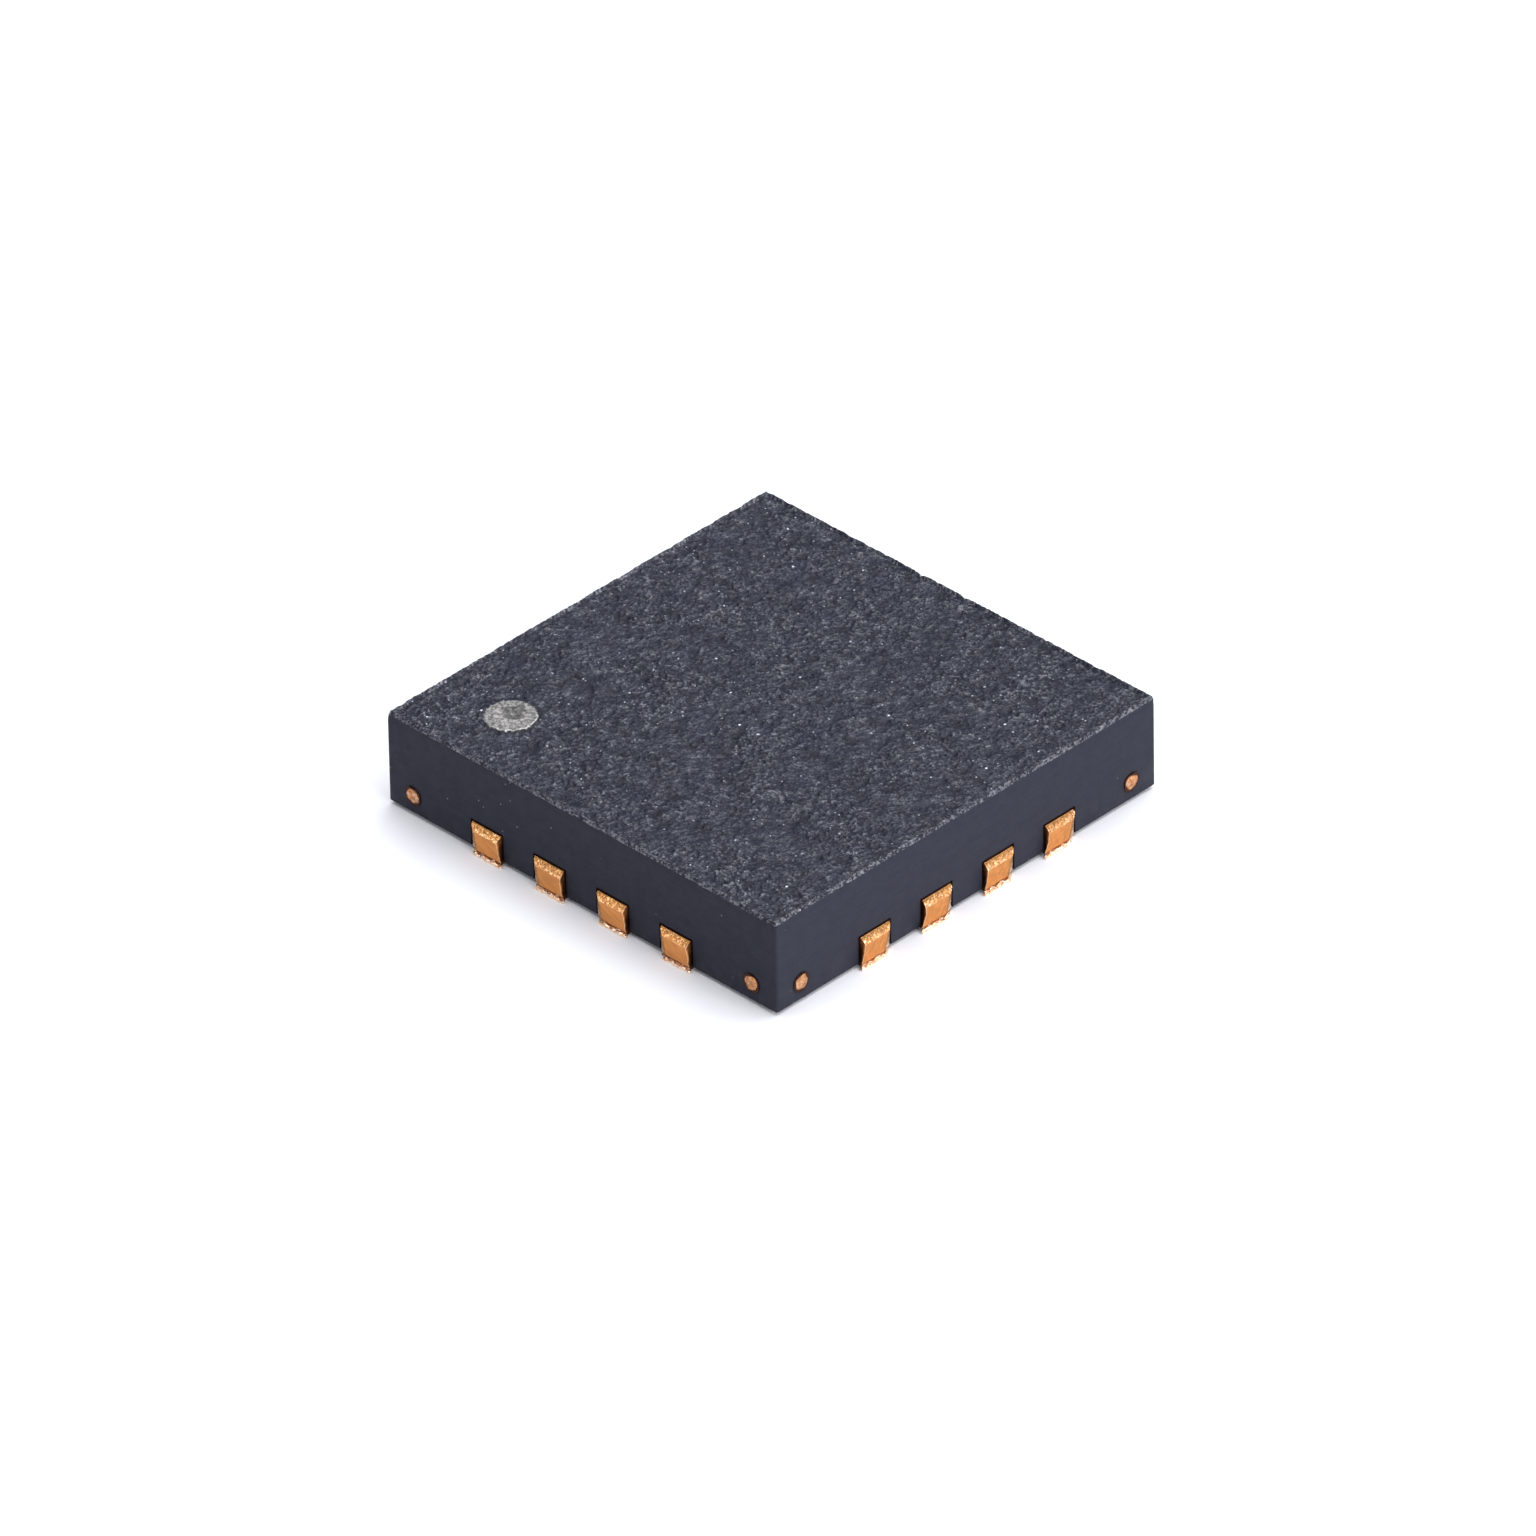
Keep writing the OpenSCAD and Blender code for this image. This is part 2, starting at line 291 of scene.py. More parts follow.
class Recipe:
    """One node material, built step by step. Places and depths are in millimetres."""

    def __init__(self, name, **inputs):
        self.material = bpy.data.materials.new(name)
        self.material.use_nodes = True
        self.tree = self.material.node_tree
        self.surface = self.tree.nodes["Principled BSDF"]
        self.set(**inputs)
        coords = self.tree.nodes.new("ShaderNodeTexCoord")
        self.place = self.vector("MULTIPLY", coords.outputs["Object"], (1 / MM,) * 3)

    def set(self, **inputs):
        """Sets inputs of the surface, with _ for a space in the input's name."""
        for name, value in inputs.items():
            self.plug(self.surface.inputs[name.replace("_", " ")], value)

    def plug(self, socket, value):
        """Links a socket to an output, or sets its constant."""
        if isinstance(value, bpy.types.NodeSocket):
            self.tree.links.new(value, socket)
        elif socket.type == "RGBA" and len(value) == 3:
            socket.default_value = (*value, 1.0)
        else:
            socket.default_value = value

    def add(self, kind, output, inputs, **options):
        """Adds a node and gives back one of its outputs."""
        node = self.tree.nodes.new(kind)
        for name, value in options.items():
            setattr(node, name, value)
        for key, value in inputs.items():
            self.plug(node.inputs[key], value)
        return node.outputs[output]

    def noise(self, scale, detail=2.0, roughness=0.5, place=None):
        """Cloudy noise from 0 to 1, scale in lumps a millimetre."""
        return self.add("ShaderNodeTexNoise", 0, {
            "Vector": place or self.place, "Scale": scale, "Detail": detail, "Roughness": roughness})

    def specks(self, scale, size, rarity, place=None):
        """Mask of scattered specks: size in cells, rarity the share of empty cells."""
        node = self.tree.nodes.new("ShaderNodeTexVoronoi")
        self.plug(node.inputs["Vector"], place or self.place)
        node.inputs["Scale"].default_value = scale
        near = self.step(node.outputs["Distance"], size, size * 0.4)
        pick = self.add("ShaderNodeSeparateColor", 0, {0: node.outputs["Color"]})
        return self.maths("MULTIPLY", near, self.step(pick, rarity, min(rarity + 0.1, 1.0)))

    def step(self, value, low, high, start=0.0, end=1.0):
        """Smooth step of a value between two limits."""
        return self.add("ShaderNodeMapRange", 0, {
            "Value": value, "From Min": low, "From Max": high, "To Min": start, "To Max": end},
            interpolation_type="SMOOTHSTEP")

    def maths(self, operation, a, b=0.0):
        """One sum on two values."""
        return self.add("ShaderNodeMath", 0, {0: a, 1: b}, operation=operation)

    def vector(self, operation, a, b=(0.0, 0.0, 0.0), output=0):
        """One sum on two vectors."""
        return self.add("ShaderNodeVectorMath", output, {0: a, 1: b}, operation=operation)

    def ragged(self, value, noise, amount):
        """A value raised unevenly by a share of a noise."""
        return self.add("ShaderNodeMath", 0, {0: noise, 1: amount, 2: value}, operation="MULTIPLY_ADD")

    def axes(self):
        """The place along x, y and z."""
        parts = self.tree.nodes.new("ShaderNodeSeparateXYZ")
        self.plug(parts.inputs[0], self.place)
        return parts.outputs

    def mix(self, factor, a, b):
        """Colour between a and b."""
        return self.add("ShaderNodeMix", 2, {0: factor, 6: a, 7: b}, data_type="RGBA")

    def stretch(self, x, y, z):
        """The place, stretched along each axis."""
        return self.vector("MULTIPLY", self.place, (x, y, z))

    def bump(self, height, depth, strength=1.0):
        """Bump of a depth in millimetres, joined to the surface."""
        normal = self.add("ShaderNodeBump", 0, {
            "Height": height, "Distance": depth * MM, "Strength": strength})
        self.set(Normal=normal)


def tint(value, share_of_it):
    """A colour made darker or lighter."""
    return tuple(min(1.0, channel * share_of_it) for channel in value)


# Materials


def body_side():
    """Distance from the middle of the chip to the body's sides, in millimetres."""
    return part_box("mould_body")[1][0] / MM


def reach_out(recipe):
    """Distance from the middle of the chip to a place, square to the nearest side."""
    x, y = recipe.axes()[:2]
    return recipe.maths("MAXIMUM", recipe.maths("ABSOLUTE", x), recipe.maths("ABSOLUTE", y))


def burned_mark(recipe, settings):
    """Mask of the first-lead mark, mask of the painted shadow round it, and the mark's colour with a painted
    highlight on its front rim.
    """
    low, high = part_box("mould_body")
    centre = ((low[0] + settings.mark_side) / MM, (high[1] - settings.mark_end) / MM, 0.0)
    radius = settings.mark_radius / MM
    flat = recipe.stretch(1.0, 1.0, 0.0)
    edge = recipe.ragged(recipe.vector("DISTANCE", flat, centre, "Value"), recipe.noise(30.0, 2.0), 0.05)
    inside = recipe.step(edge, radius + 0.022, radius + 0.006)
    towards = recipe.vector("SUBTRACT", flat, centre)
    # The front side of the mark, where its painted shadow and painted highlight lie.
    front = recipe.vector("DOT_PRODUCT", towards, (-0.42, -0.91, 0.0), "Value")
    front = recipe.step(front, -0.12, 0.20)
    # Painted shadow: a dark ring outside the mark, stronger towards its front.
    halo = recipe.step(edge, radius + 0.066, radius + 0.030)
    halo = recipe.maths("MULTIPLY", halo, recipe.step(front, 0.0, 1.0, 0.12, 0.62))
    dull = recipe.step(edge, radius - 0.075, radius - 0.020)
    burned = recipe.mix(dull, tint(settings.laser, 1.12), tint(settings.laser, 0.84))
    # Painted highlight along the mark's front rim.
    rim = recipe.step(edge, radius - 0.004, radius + 0.008)
    rim = recipe.maths("MULTIPLY", rim, recipe.step(front, 0.2, 1.0, 0.10, 0.75))
    burned = recipe.mix(rim, burned, tint(settings.laser, 2.6))
    beside = recipe.vector("SUBTRACT", towards, (0.046, 0.018, 0.0))
    beside = recipe.vector("LENGTH", beside, output="Value")
    wander = recipe.ragged(beside, recipe.noise(11.0, 3.0, 0.6), 0.13)
    spot = recipe.maths("MULTIPLY", recipe.step(wander, 0.168, 0.140),
                        recipe.step(wander, 0.080, 0.105, 0.22, 0.92))
    burned = recipe.mix(spot, burned, tint(settings.laser, 0.38))
    grit = recipe.mix(recipe.step(recipe.noise(36.0, 3.0, 0.75), 0.36, 0.64), (0.42,) * 3, (1.58,) * 3)
    burned = recipe.add("ShaderNodeMix", 2, {0: 1.0, 6: burned, 7: grit}, data_type="RGBA",
                        blend_type="MULTIPLY")
    return inside, halo, burned


def moulded_top(settings):
    """Grainy moulded top with silica specks, the laser-burned first-lead mark, and painted light: shade in
    the hollows, highlights on the crests and top edges, glints, and a shadow round the mark.
    """
    recipe = Recipe("moulded_top", Specular_IOR_Level=0.35)
    base = settings.compound
    cloud = recipe.step(recipe.noise(5.0, 4.0, 0.6), 0.35, 0.65)
    grain = recipe.step(recipe.noise(26.0, 4.0, 0.65), 0.38, 0.68)
    skin = recipe.mix(cloud, tint(base, 0.80), tint(base, 1.15))
    skin = recipe.mix(recipe.maths("MULTIPLY", grain, 0.4), skin, tint(base, 1.8))
    crest = recipe.add("ShaderNodeAttribute", "Fac", {}, attribute_name="crumb")
    clumps = (((64.0, 2.0, 0.7), (0.36, 0.64, -0.17, 0.17)),
              ((17.0, 3.0, 0.6), (0.34, 0.66, -0.11, 0.09)),
              ((7.0, 3.0, 0.6), (0.30, 0.70, -0.11, 0.10)))
    for lumpy, limits in clumps:
        crest = recipe.maths("ADD", crest, recipe.step(recipe.noise(*lumpy), *limits))
    # Painted shade in the hollows and pits of the grain, where the crumb height is low.
    skin = recipe.mix(recipe.step(crest, 0.48, 0.25, 0.0, 0.60), skin, tint(base, 0.45))
    # Painted highlight on the crests of the grain.
    skin = recipe.mix(recipe.step(crest, 0.64, 1.04, 0.0, 0.85), skin, tint(settings.filler_and_highlight, 0.56))
    # Pale silica specks, which also serve as painted glints.
    skin = recipe.mix(recipe.specks(30.0, 0.27, 0.90), skin, tint(settings.filler_and_highlight, 1.6))
    skin = recipe.mix(recipe.specks(12.0, 0.16, 0.90), skin, tint(settings.filler_and_highlight, 2.4))
    # Painted highlight: a ragged pale band along the top edges, on the grain's crests.
    reach = recipe.ragged(reach_out(recipe), recipe.noise(40.0, 3.0, 0.7), 0.07)
    side = body_side()
    top_edge_highlight = recipe.step(reach, side - 0.008, side + 0.022)
    top_edge_highlight = recipe.maths("MULTIPLY", top_edge_highlight, recipe.step(crest, 0.30, 0.75, 0.05, 0.60))
    skin = recipe.mix(top_edge_highlight, skin, tint(settings.filler_and_highlight, 0.55))
    inside, halo, burned = burned_mark(recipe, settings)
    # Painted shadow round the first-lead mark, which also lowers the sheen there.
    skin = recipe.mix(halo, skin, settings.mark_shadow)
    recipe.set(Base_Color=recipe.mix(inside, skin, burned),
               Roughness=recipe.step(recipe.noise(18.0, 2.0), 0.3, 0.7, 0.22, 0.40),
               Specular_IOR_Level=recipe.step(recipe.maths("SUBTRACT", crest, halo), 0.30, 0.85, 0.15, 0.56))
    crumbs = recipe.add("ShaderNodeTexVoronoi", "Distance", {"Vector": recipe.place, "Scale": 27.0})
    crumbs = recipe.maths("SUBTRACT", recipe.noise(38.0, 3.0, 0.6), crumbs)
    recipe.bump(crumbs, 0.008, 0.7)
    return recipe.material


def dark_outline(recipe, lead_settings):
    """Mask of the thin dark line round the lead ends and tie-bar ends on the sawn sides: painted shade of the
    crevices, partly burned compound.
    """
    first, second = (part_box(node) for node in LEADS[:2])
    pitch = abs(first[0][1] - second[0][1]) / MM
    half_width = (first[1][1] - first[0][1]) / 2 / MM
    row_end = pitch * len(LEADS) / 8
    x, y, rise = recipe.axes()
    along = recipe.maths("MINIMUM", recipe.maths("ABSOLUTE", x), recipe.maths("ABSOLUTE", y))
    aside = recipe.maths("SUBTRACT", pitch / 2 - half_width, recipe.maths("PINGPONG", along, pitch / 2))
    past_row = recipe.maths("GREATER_THAN", along, row_end)
    aside = recipe.maths("MAXIMUM", recipe.maths("ADD", aside, past_row), 0.0)
    above = recipe.maths("MAXIMUM", recipe.maths("SUBTRACT", rise, first[1][2] / MM), 0.0)
    ragged = recipe.step(recipe.noise(36.0, 2.0), 0.3, 0.7, -0.006, 0.006)

    def away(x, y):
        squares = recipe.maths("ADD", recipe.maths("MULTIPLY", x, x), recipe.maths("MULTIPLY", y, y))
        return recipe.maths("ADD", recipe.maths("SQRT", squares), ragged)

    tie = away(recipe.maths("SUBTRACT", along, lead_settings.tie_place / MM),
               recipe.maths("SUBTRACT", rise, lead_settings.tie_height / MM))
    tie = recipe.maths("SUBTRACT", tie, lead_settings.tie_radius / MM)
    return recipe.step(recipe.maths("MINIMUM", away(aside, above), tie), 0.034, 0.010)


def sawn_side(settings, lead_settings):
    """Smooth sawn compound with faint blade lines, a few pale specks and dark outlines of painted shade and
    burn.
    """
    recipe = Recipe("sawn_side")
    base = settings.sawn
    lines = recipe.noise(14.0, 3.0, 0.6, recipe.stretch(0.25, 0.25, 3.0))
    skin = recipe.mix(recipe.step(lines, 0.35, 0.65), tint(base, 0.95), tint(base, 1.05))
    skin = recipe.mix(recipe.step(recipe.noise(30.0, 3.0, 0.7), 0.5, 0.8, 0.0, 0.5), skin, tint(base, 1.35))
    skin = recipe.mix(recipe.specks(20.0, 0.18, 0.982), skin, tint(settings.filler_and_highlight, 0.6))
    # Painted shade, partly burned compound, round the lead ends and tie-bar ends.
    skin = recipe.mix(dark_outline(recipe, lead_settings), skin, lead_settings.burn_and_shade)
    recipe.set(Base_Color=skin, Roughness=recipe.step(recipe.noise(9.0), 0.3, 0.7, 0.42, 0.56),
               Specular_IOR_Level=0.065)
    recipe.bump(recipe.noise(40.0, 3.0), 0.002, 0.5)
    return recipe.material


def burned_and_shaded_groove(lead_settings):
    """Dull compound in the grooves round the lead ends, dark with painted shade and burn."""
    recipe = Recipe("burned_and_shaded_groove", Roughness=0.9, Specular_IOR_Level=0.05)
    burned = lead_settings.burn_and_shade
    # Painted shade in the grooves, partly burned compound.
    recipe.set(Base_Color=recipe.mix(recipe.noise(30.0, 3.0), tint(burned, 0.7), tint(burned, 1.6)))
    return recipe.material


def moulded_foot(settings):
    """Even moulded compound of the underside and the pockets."""
    recipe = Recipe("moulded_foot")
    base = settings.compound
    recipe.set(Base_Color=recipe.mix(recipe.noise(7.0, 4.0), tint(base, 0.8), tint(base, 1.2)),
               Roughness=0.55)
    recipe.bump(recipe.noise(30.0, 3.0), 0.003, 0.6)
    return recipe.material


def streaked(recipe):
    """Place along a cut face, stretched into slanting drag lines."""
    x, y, rise = recipe.axes()
    along = recipe.maths("ADD", x, y)
    across = recipe.maths("SUBTRACT", rise, recipe.maths("MULTIPLY", along, 0.55))
    run = recipe.maths("MULTIPLY", recipe.maths("ADD", along, rise), 0.18)
    return recipe.add("ShaderNodeCombineXYZ", 0, {0: run, 1: across, 2: x})


def shining(recipe, low, high):
    """Mask of the burnished edges and painted highlights noted in the mesh."""
    wear_and_highlight = recipe.add("ShaderNodeAttribute", "Fac", {}, attribute_name="crumb")
    wear_and_highlight = recipe.maths("ADD", wear_and_highlight, recipe.step(recipe.noise(60.0, 2.0), 0.3, 0.7, -0.15, 0.15))
    return recipe.step(wear_and_highlight, low, high)


def cut_copper(settings):
    """Sawn copper with slanting drag lines, and burnished edges that carry painted highlights."""
    recipe = Recipe("cut_copper", Metallic=1.0)
    drag = recipe.noise(26.0, 3.0, 0.6, streaked(recipe))
    base = settings.copper
    skin = recipe.mix(recipe.step(drag, 0.35, 0.65), tint(base, 0.86), tint(base, 1.08))
    recipe.set(Base_Color=recipe.mix(shining(recipe, 0.35, 0.85), skin, settings.edge),
               Roughness=recipe.step(recipe.noise(20.0), 0.3, 0.7, 0.28, 0.42))
    recipe.bump(drag, 0.0016, 0.7)
    return recipe.material


def dragged_copper(settings):
    """Crumbly copper of the bevels, darker next to the body, with painted highlights on its crest and edges
    and bright flecks.
    """
    recipe = Recipe("dragged_copper", Metallic=1.0)
    crumbs = recipe.noise(52.0, 3.0, 0.65)
    skin = recipe.mix(recipe.step(crumbs, 0.42, 0.62), tint(settings.copper, 0.95), settings.bright)
    # Darker copper next to the body, where the mask is low.
    skin = recipe.mix(shining(recipe, 0.34, 0.0), skin, settings.gold)
    recipe.set(Base_Color=recipe.mix(shining(recipe, 0.45, 0.95), skin, settings.cream_highlight),
               Roughness=recipe.step(crumbs, 0.3, 0.7, 0.36, 0.22))
    recipe.bump(crumbs, 0.005, 0.75)
    return recipe.material


def smeared_tin(settings):
    """Bright crumbly tin drawn out over the foot of a cut end."""
    recipe = Recipe("smeared_tin", Metallic=1.0)
    crumbs = recipe.noise(40.0, 3.0, 0.65)
    recipe.set(Base_Color=recipe.mix(recipe.step(crumbs, 0.36, 0.56), settings.bright,
                                     settings.smear),
               Roughness=recipe.step(crumbs, 0.3, 0.7, 0.40, 0.22))
    recipe.bump(crumbs, 0.006, 0.9)
    return recipe.material


def etched_copper(settings):
    """Dull brown copper of the etched sides, with painted shade, darkest where they meet the body."""
    recipe = Recipe("etched_copper", Metallic=1.0)
    patches = recipe.noise(22.0, 4.0, 0.6)
    skin = recipe.mix(patches, tint(settings.shade_and_brown, 0.6), tint(settings.shade_and_brown, 1.5))
    end = body_side() + settings.proud / MM
    reach = recipe.ragged(reach_out(recipe), recipe.noise(40.0, 2.0), 0.010)
    # Painted shade in the corner where a side wall meets the body.
    burned = recipe.step(reach, end + 0.0005, end - 0.009, 0.0, 0.82)
    recipe.set(Base_Color=recipe.mix(burned, skin, tint(settings.shade_and_brown, 0.22)),
               Roughness=recipe.step(patches, 0.3, 0.7, 0.4, 0.6))
    recipe.bump(patches, 0.004, 0.6)
    return recipe.material


def mottled_copper(settings):
    """Browned copper of the tie-bar ends, paler where it was scraped."""
    recipe = Recipe("mottled_copper", Metallic=1.0)
    patches = recipe.noise(24.0, 3.0, 0.65)
    skin = recipe.mix(recipe.step(patches, 0.38, 0.62), tint(settings.shade_and_brown, 0.6), tint(settings.copper, 0.9))
    scraped = recipe.step(recipe.noise(36.0, 2.0, 0.6), 0.40, 0.76, 0.04, 0.42)
    recipe.set(Base_Color=recipe.mix(scraped, skin, settings.smear),
               Roughness=recipe.step(patches, 0.3, 0.7, 0.55, 0.35))
    recipe.bump(patches, 0.004, 0.6)
    return recipe.material


def tinned_copper(settings):
    """Copper whose lowest faces carry matt tin and whose copper by the body's sides, in the grooves, is
    darkened with painted shade.
    """
    recipe = Recipe("tinned_copper", Metallic=1.0)
    plated = recipe.step(recipe.axes()[2], 0.006, 0.002)
    grain = recipe.noise(24.0, 4.0, 0.6)
    tin = recipe.mix(grain, tint(settings.tin, 0.85), tint(settings.tin, 1.12))
    bare = recipe.mix(grain, tint(settings.copper, 0.7), settings.copper)
    side = body_side()
    # Painted shade on the copper in the grooves by the body's sides.
    bare = recipe.mix(recipe.step(reach_out(recipe), side - 0.055, side - 0.045), bare,
                      tint(settings.burn_and_shade, 3.0))
    recipe.set(Base_Color=recipe.mix(plated, bare, tin),
               Roughness=recipe.step(grain, 0.3, 0.7, 0.38, 0.55))
    recipe.bump(grain, 0.003, 0.7)
    return recipe.material


def inner_materials():
    """Materials of the pieces sealed in the body, by slot."""
    die = Recipe("polished_silicon", Metallic=0.35)
    die.set(Base_Color=die.mix(die.noise(3.0, 5.0), (0.10, 0.11, 0.14), (0.20, 0.21, 0.25)),
            Roughness=die.step(die.noise(12.0), 0.3, 0.7, 0.12, 0.22))
    attach = Recipe("silver_epoxy", Metallic=0.55)
    flakes = attach.noise(60.0, 3.0, 0.7)
    attach.set(Base_Color=attach.mix(flakes, (0.36, 0.36, 0.37), (0.66, 0.66, 0.65)),
               Roughness=attach.step(flakes, 0.3, 0.7, 0.6, 0.4))
    attach.bump(flakes, 0.003, 0.7)
    gold = Recipe("drawn_gold", Metallic=1.0)
    drawn = gold.noise(40.0, 3.0)
    gold.set(Base_Color=gold.mix(drawn, (0.86, 0.58, 0.22), (1.0, 0.74, 0.33)),
             Roughness=gold.step(drawn, 0.3, 0.7, 0.18, 0.30))
    return {"silicon": die.material, "silver_epoxy": attach.material, "gold": gold.material}


def paper(settings):
    """Plain pale paper of the floor."""
    recipe = Recipe("pale_paper", Roughness=0.55, Specular_IOR_Level=0.2)
    base = settings.floor
    recipe.set(Base_Color=recipe.mix(recipe.noise(0.3, 2.0), tint(base, 0.995), base))
    return recipe.material


# Moulded body


TOP, SIDE, UNDER, GROOVE_WALL = range(4)
GROOVE_DEPTH = 0.030 * MM
SKIN_GAP = 0.0006 * MM
FOOT_EDGE = 0.003 * MM


def square_ring(half, rounding, cells):
    """Points round a square with rounded corners, anticlockwise from its low corner."""
    run = np.linspace(-half, half, cells + 1)[:-1]
    edge = np.full(cells, half)
    x = np.concatenate([run, edge, -run, -edge])
    y = np.concatenate([-edge, run, edge, -run])
    px, py = np.abs(x) - (half - rounding), np.abs(y) - (half - rounding)
    corner = (px > 0) & (py > 0)
    reach = np.where(corner, np.maximum(px, py) / np.maximum(np.hypot(px, py), 1e-12), 1.0)
    x = np.where(corner, np.sign(x) * (half - rounding + px * reach), x)
    y = np.where(corner, np.sign(y) * (half - rounding + py * reach), y)
    return x, y


def top_relief(x, y, settings, mark):
    """Depth of the moulded top under the flat CAD top in metres, and crumb height from 0 to 1."""
    grain = settings.grain_height
    patchy = np.clip(0.85 + 0.55 * lumps(x, y, 0.50 * MM, 11), 0.35, 1.3)
    crumbs = 0.7 * grains(x, y, 0.042 * MM, 12) + 0.50 * lumps(x, y, 0.027 * MM, 13)
    dents = 0.6 * lumps(x, y, 0.17 * MM, 14) + 0.4 * lumps(x, y, 0.42 * MM, 15)
    grit = np.random.default_rng(20).normal(0, 0.26, np.shape(x))
    height = grain * patchy * (crumbs + dents + grit)
    pits = ease(lumps(x, y, 0.062 * MM, 16), 0.42, 0.85)
    hollows = ease(lumps(x, y, 0.14 * MM, 27), 0.22, 0.75)
    depth = grain * 2.4 - height + settings.pit_depth * (pits + 0.9 * hollows)
    away = np.hypot(x - mark[0], y - mark[1])
    away = away + 0.010 * MM * lumps(x, y, 0.05 * MM, 17)
    radius = settings.mark_radius
    inside = 1 - ease(away, radius, radius + 0.016 * MM)
    burned = 0.003 * MM * (1.6 + lumps(x, y, 0.034 * MM, 18) + 0.6 * lumps(x, y, 0.08 * MM, 19))
    burned = burned + 0.004 * MM * (1 - ease(away, 0.05 * MM, 0.10 * MM))
    lip = np.exp(-(((away - radius - 0.020 * MM) / (0.012 * MM)) ** 2))
    depth = (1 - inside) * depth + inside * (settings.mark_depth + burned) - 0.5 * grain * lip
    fine = patchy * (crumbs - 0.36 + 1.3 * grit) - 0.45 * pits - 0.45 * hollows
    return depth, np.clip(0.5 + 0.38 * fine, 0, 1)


def edge_chips(x, y, settings):
    """Depth of the crumbs broken out along the top edges, in metres."""
    long_chips = ease(lumps(x, y, 0.15 * MM, 21), 0.15, 0.80)
    short_chips = ease(lumps(x, y, 0.055 * MM, 22), -0.05, 0.70)
    return settings.chip_depth * (0.9 * long_chips + 0.7 * short_chips)


def body_skin(settings, materials):
    """Dense closed skin of the moulded body, just inside the CAD body."""
    low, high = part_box("mould_body")
    cells, radius = settings.top_cells, settings.edge_radius
    half = (high[0] - low[0]) / 2 - SKIN_GAP
    foot, top = low[2] + SKIN_GAP, high[2] - SKIN_GAP
    side_foot = foot + FOOT_EDGE
    mark = (low[0] + settings.mark_side, high[1] - settings.mark_end)
    rise = (top - radius) - side_foot
    rows = [(FOOT_EDGE, foot), (0.0, side_foot)]
    rows += [(0.0, side_foot + rise * t) for t in (0.34, 0.67, 0.88, 0.93, 0.965, 1.0)]
    turns = np.linspace(0, math.pi / 2, 6)[1:]
    rows += [(radius * (1 - math.cos(t)), top - radius + radius * math.sin(t)) for t in turns]
    around = np.arange(4 * cells) * (2 * half / cells)
    shaker = np.random.default_rng(23)
    points = []
    for inset, height in rows:
        x, y = square_ring(half - inset, max(settings.upright_radius - inset, 0.004 * MM), cells)
        length_out = np.maximum(np.abs(x), np.abs(y))
        near = math.exp(-(((top - height) + inset - 0.58 * radius) / (1.1 * radius)) ** 2)
        bite = near * (edge_chips(x, y, settings) + shaker.uniform(0, 0.005 * MM, around.shape))
        pull = 1 - bite / length_out
        saw = 0.0005 * MM * (1 + lumps(around, around * 0 + height, 0.30 * MM, 24))
        pull = pull - (saw / length_out if inset == 0.0 else 0.0)
        z = np.full(4 * cells, height) - bite * 0.6
        points.append(np.stack([x * pull, y * pull, z], axis=1))
    ring_count, around_count = len(rows), 4 * cells
    edge_id = (ring_count - 1) * around_count + np.arange(around_count)
    index = np.zeros((cells + 1, cells + 1), dtype=int)
    steps = np.arange(cells)
    index[steps, 0] = edge_id[:cells]
    index[cells, steps] = edge_id[cells:2 * cells]
    index[cells - steps, cells] = edge_id[2 * cells:3 * cells]
    index[0, cells - steps] = edge_id[3 * cells:]
    inner = cells - 1
    index[1:cells, 1:cells] = ring_count * around_count + np.arange(inner * inner).reshape(inner, inner)
    line = np.linspace(-(half - radius), half - radius, cells + 1)[1:-1]
    gx, gy = np.meshgrid(line, line, indexing="ij")
    border = half - np.maximum(np.abs(gx), np.abs(gy)) - radius
    side_bite = np.exp(-((border / (0.030 * MM)) ** 2)) * 0.6 * edge_chips(gx, gy, settings)
    depth, crumbs = top_relief(gx, gy, settings, mark)
    calm = settings.grain_height * 2.0
    depth = calm + (depth - calm) * (0.4 + 0.6 * ease(border, 0, 0.10 * MM))
    gz = top - depth - np.maximum(side_bite, 0)
    points.append(np.stack([gx.ravel(), gy.ravel(), gz.ravel()], axis=1))
    points = np.concatenate(points)
    last = points[edge_id]
    points[edge_id, 2] -= calm + 0.4 * (top_relief(last[:, 0], last[:, 1], settings, mark)[0] - calm)
    edge_crumbs = np.clip(shaker.normal(0.5, 0.2, ring_count * around_count), 0, 1)
    crumbs = np.concatenate([edge_crumbs, crumbs.ravel()])

    here = np.arange(around_count)
    ahead = (here + 1) % around_count
    faces, zones = [], []
    for ring in range(ring_count - 1):
        a, b = ring * around_count, (ring + 1) * around_count
        faces += np.stack([a + here, a + ahead, b + ahead, b + here], axis=1).tolist()
        zones += [TOP if rows[ring][1] > top - 1.3 * radius else SIDE] * around_count
    quads = np.stack([index[:-1, :-1], index[1:, :-1], index[1:, 1:], index[:-1, 1:]], axis=2)
    faces += quads.reshape(-1, 4).tolist()
    zones += [TOP] * (cells * cells)
    faces.append(here[::-1].tolist())
    zones.append(UNDER)
    return show("moulded_body", points, faces, materials, zones, crumbs)


def sides():
    """Outward direction and along direction of the four sides, by turn."""
    return [(Vector((-1, 0, 0)), Vector((0, -1, 0))), (Vector((0, -1, 0)), Vector((1, 0, 0))),
            (Vector((1, 0, 0)), Vector((0, 1, 0))), (Vector((0, 1, 0)), Vector((-1, 0, 0)))]


